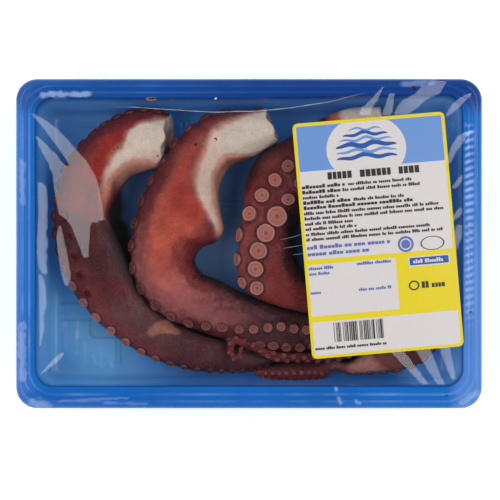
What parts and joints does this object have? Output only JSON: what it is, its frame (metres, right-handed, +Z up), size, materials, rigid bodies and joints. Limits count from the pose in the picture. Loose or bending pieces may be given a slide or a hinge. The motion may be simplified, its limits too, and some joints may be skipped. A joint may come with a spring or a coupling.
{
  "type": "pack of cooked octopus arms",
  "caption": "Sealed shop pack of cooked octopus: curled arms with suckers in a blue formed tray under a clear lid film with a paper label.",
  "frame": {"origin": "on the surface that the tray stands on, under the middle of the pack", "axes": "+X along the tray's long side, +Y across it towards the arms' cut ends, +Z up through the lid film"},
  "size_m": [0.229, 0.162, 0.0399],
  "materials": {
    "tray_plastic": "glossy blue formed plastic sheet",
    "octopus_skin": "wet cooked skin, maroon to orange, white where it is cut",
    "clear_film": "clear glossy film",
    "label_paper": "coated paper with fields of blue and yellow"
  },
  "bodies": {
    "root": {"tray": "tray_plastic", "arm_left": "octopus_skin", "arm_middle": "octopus_skin", "arm_curled": "octopus_skin", "arm_right": "octopus_skin", "lid_film": "clear_film", "label": "label_paper"}
  },
  "joints": []
}
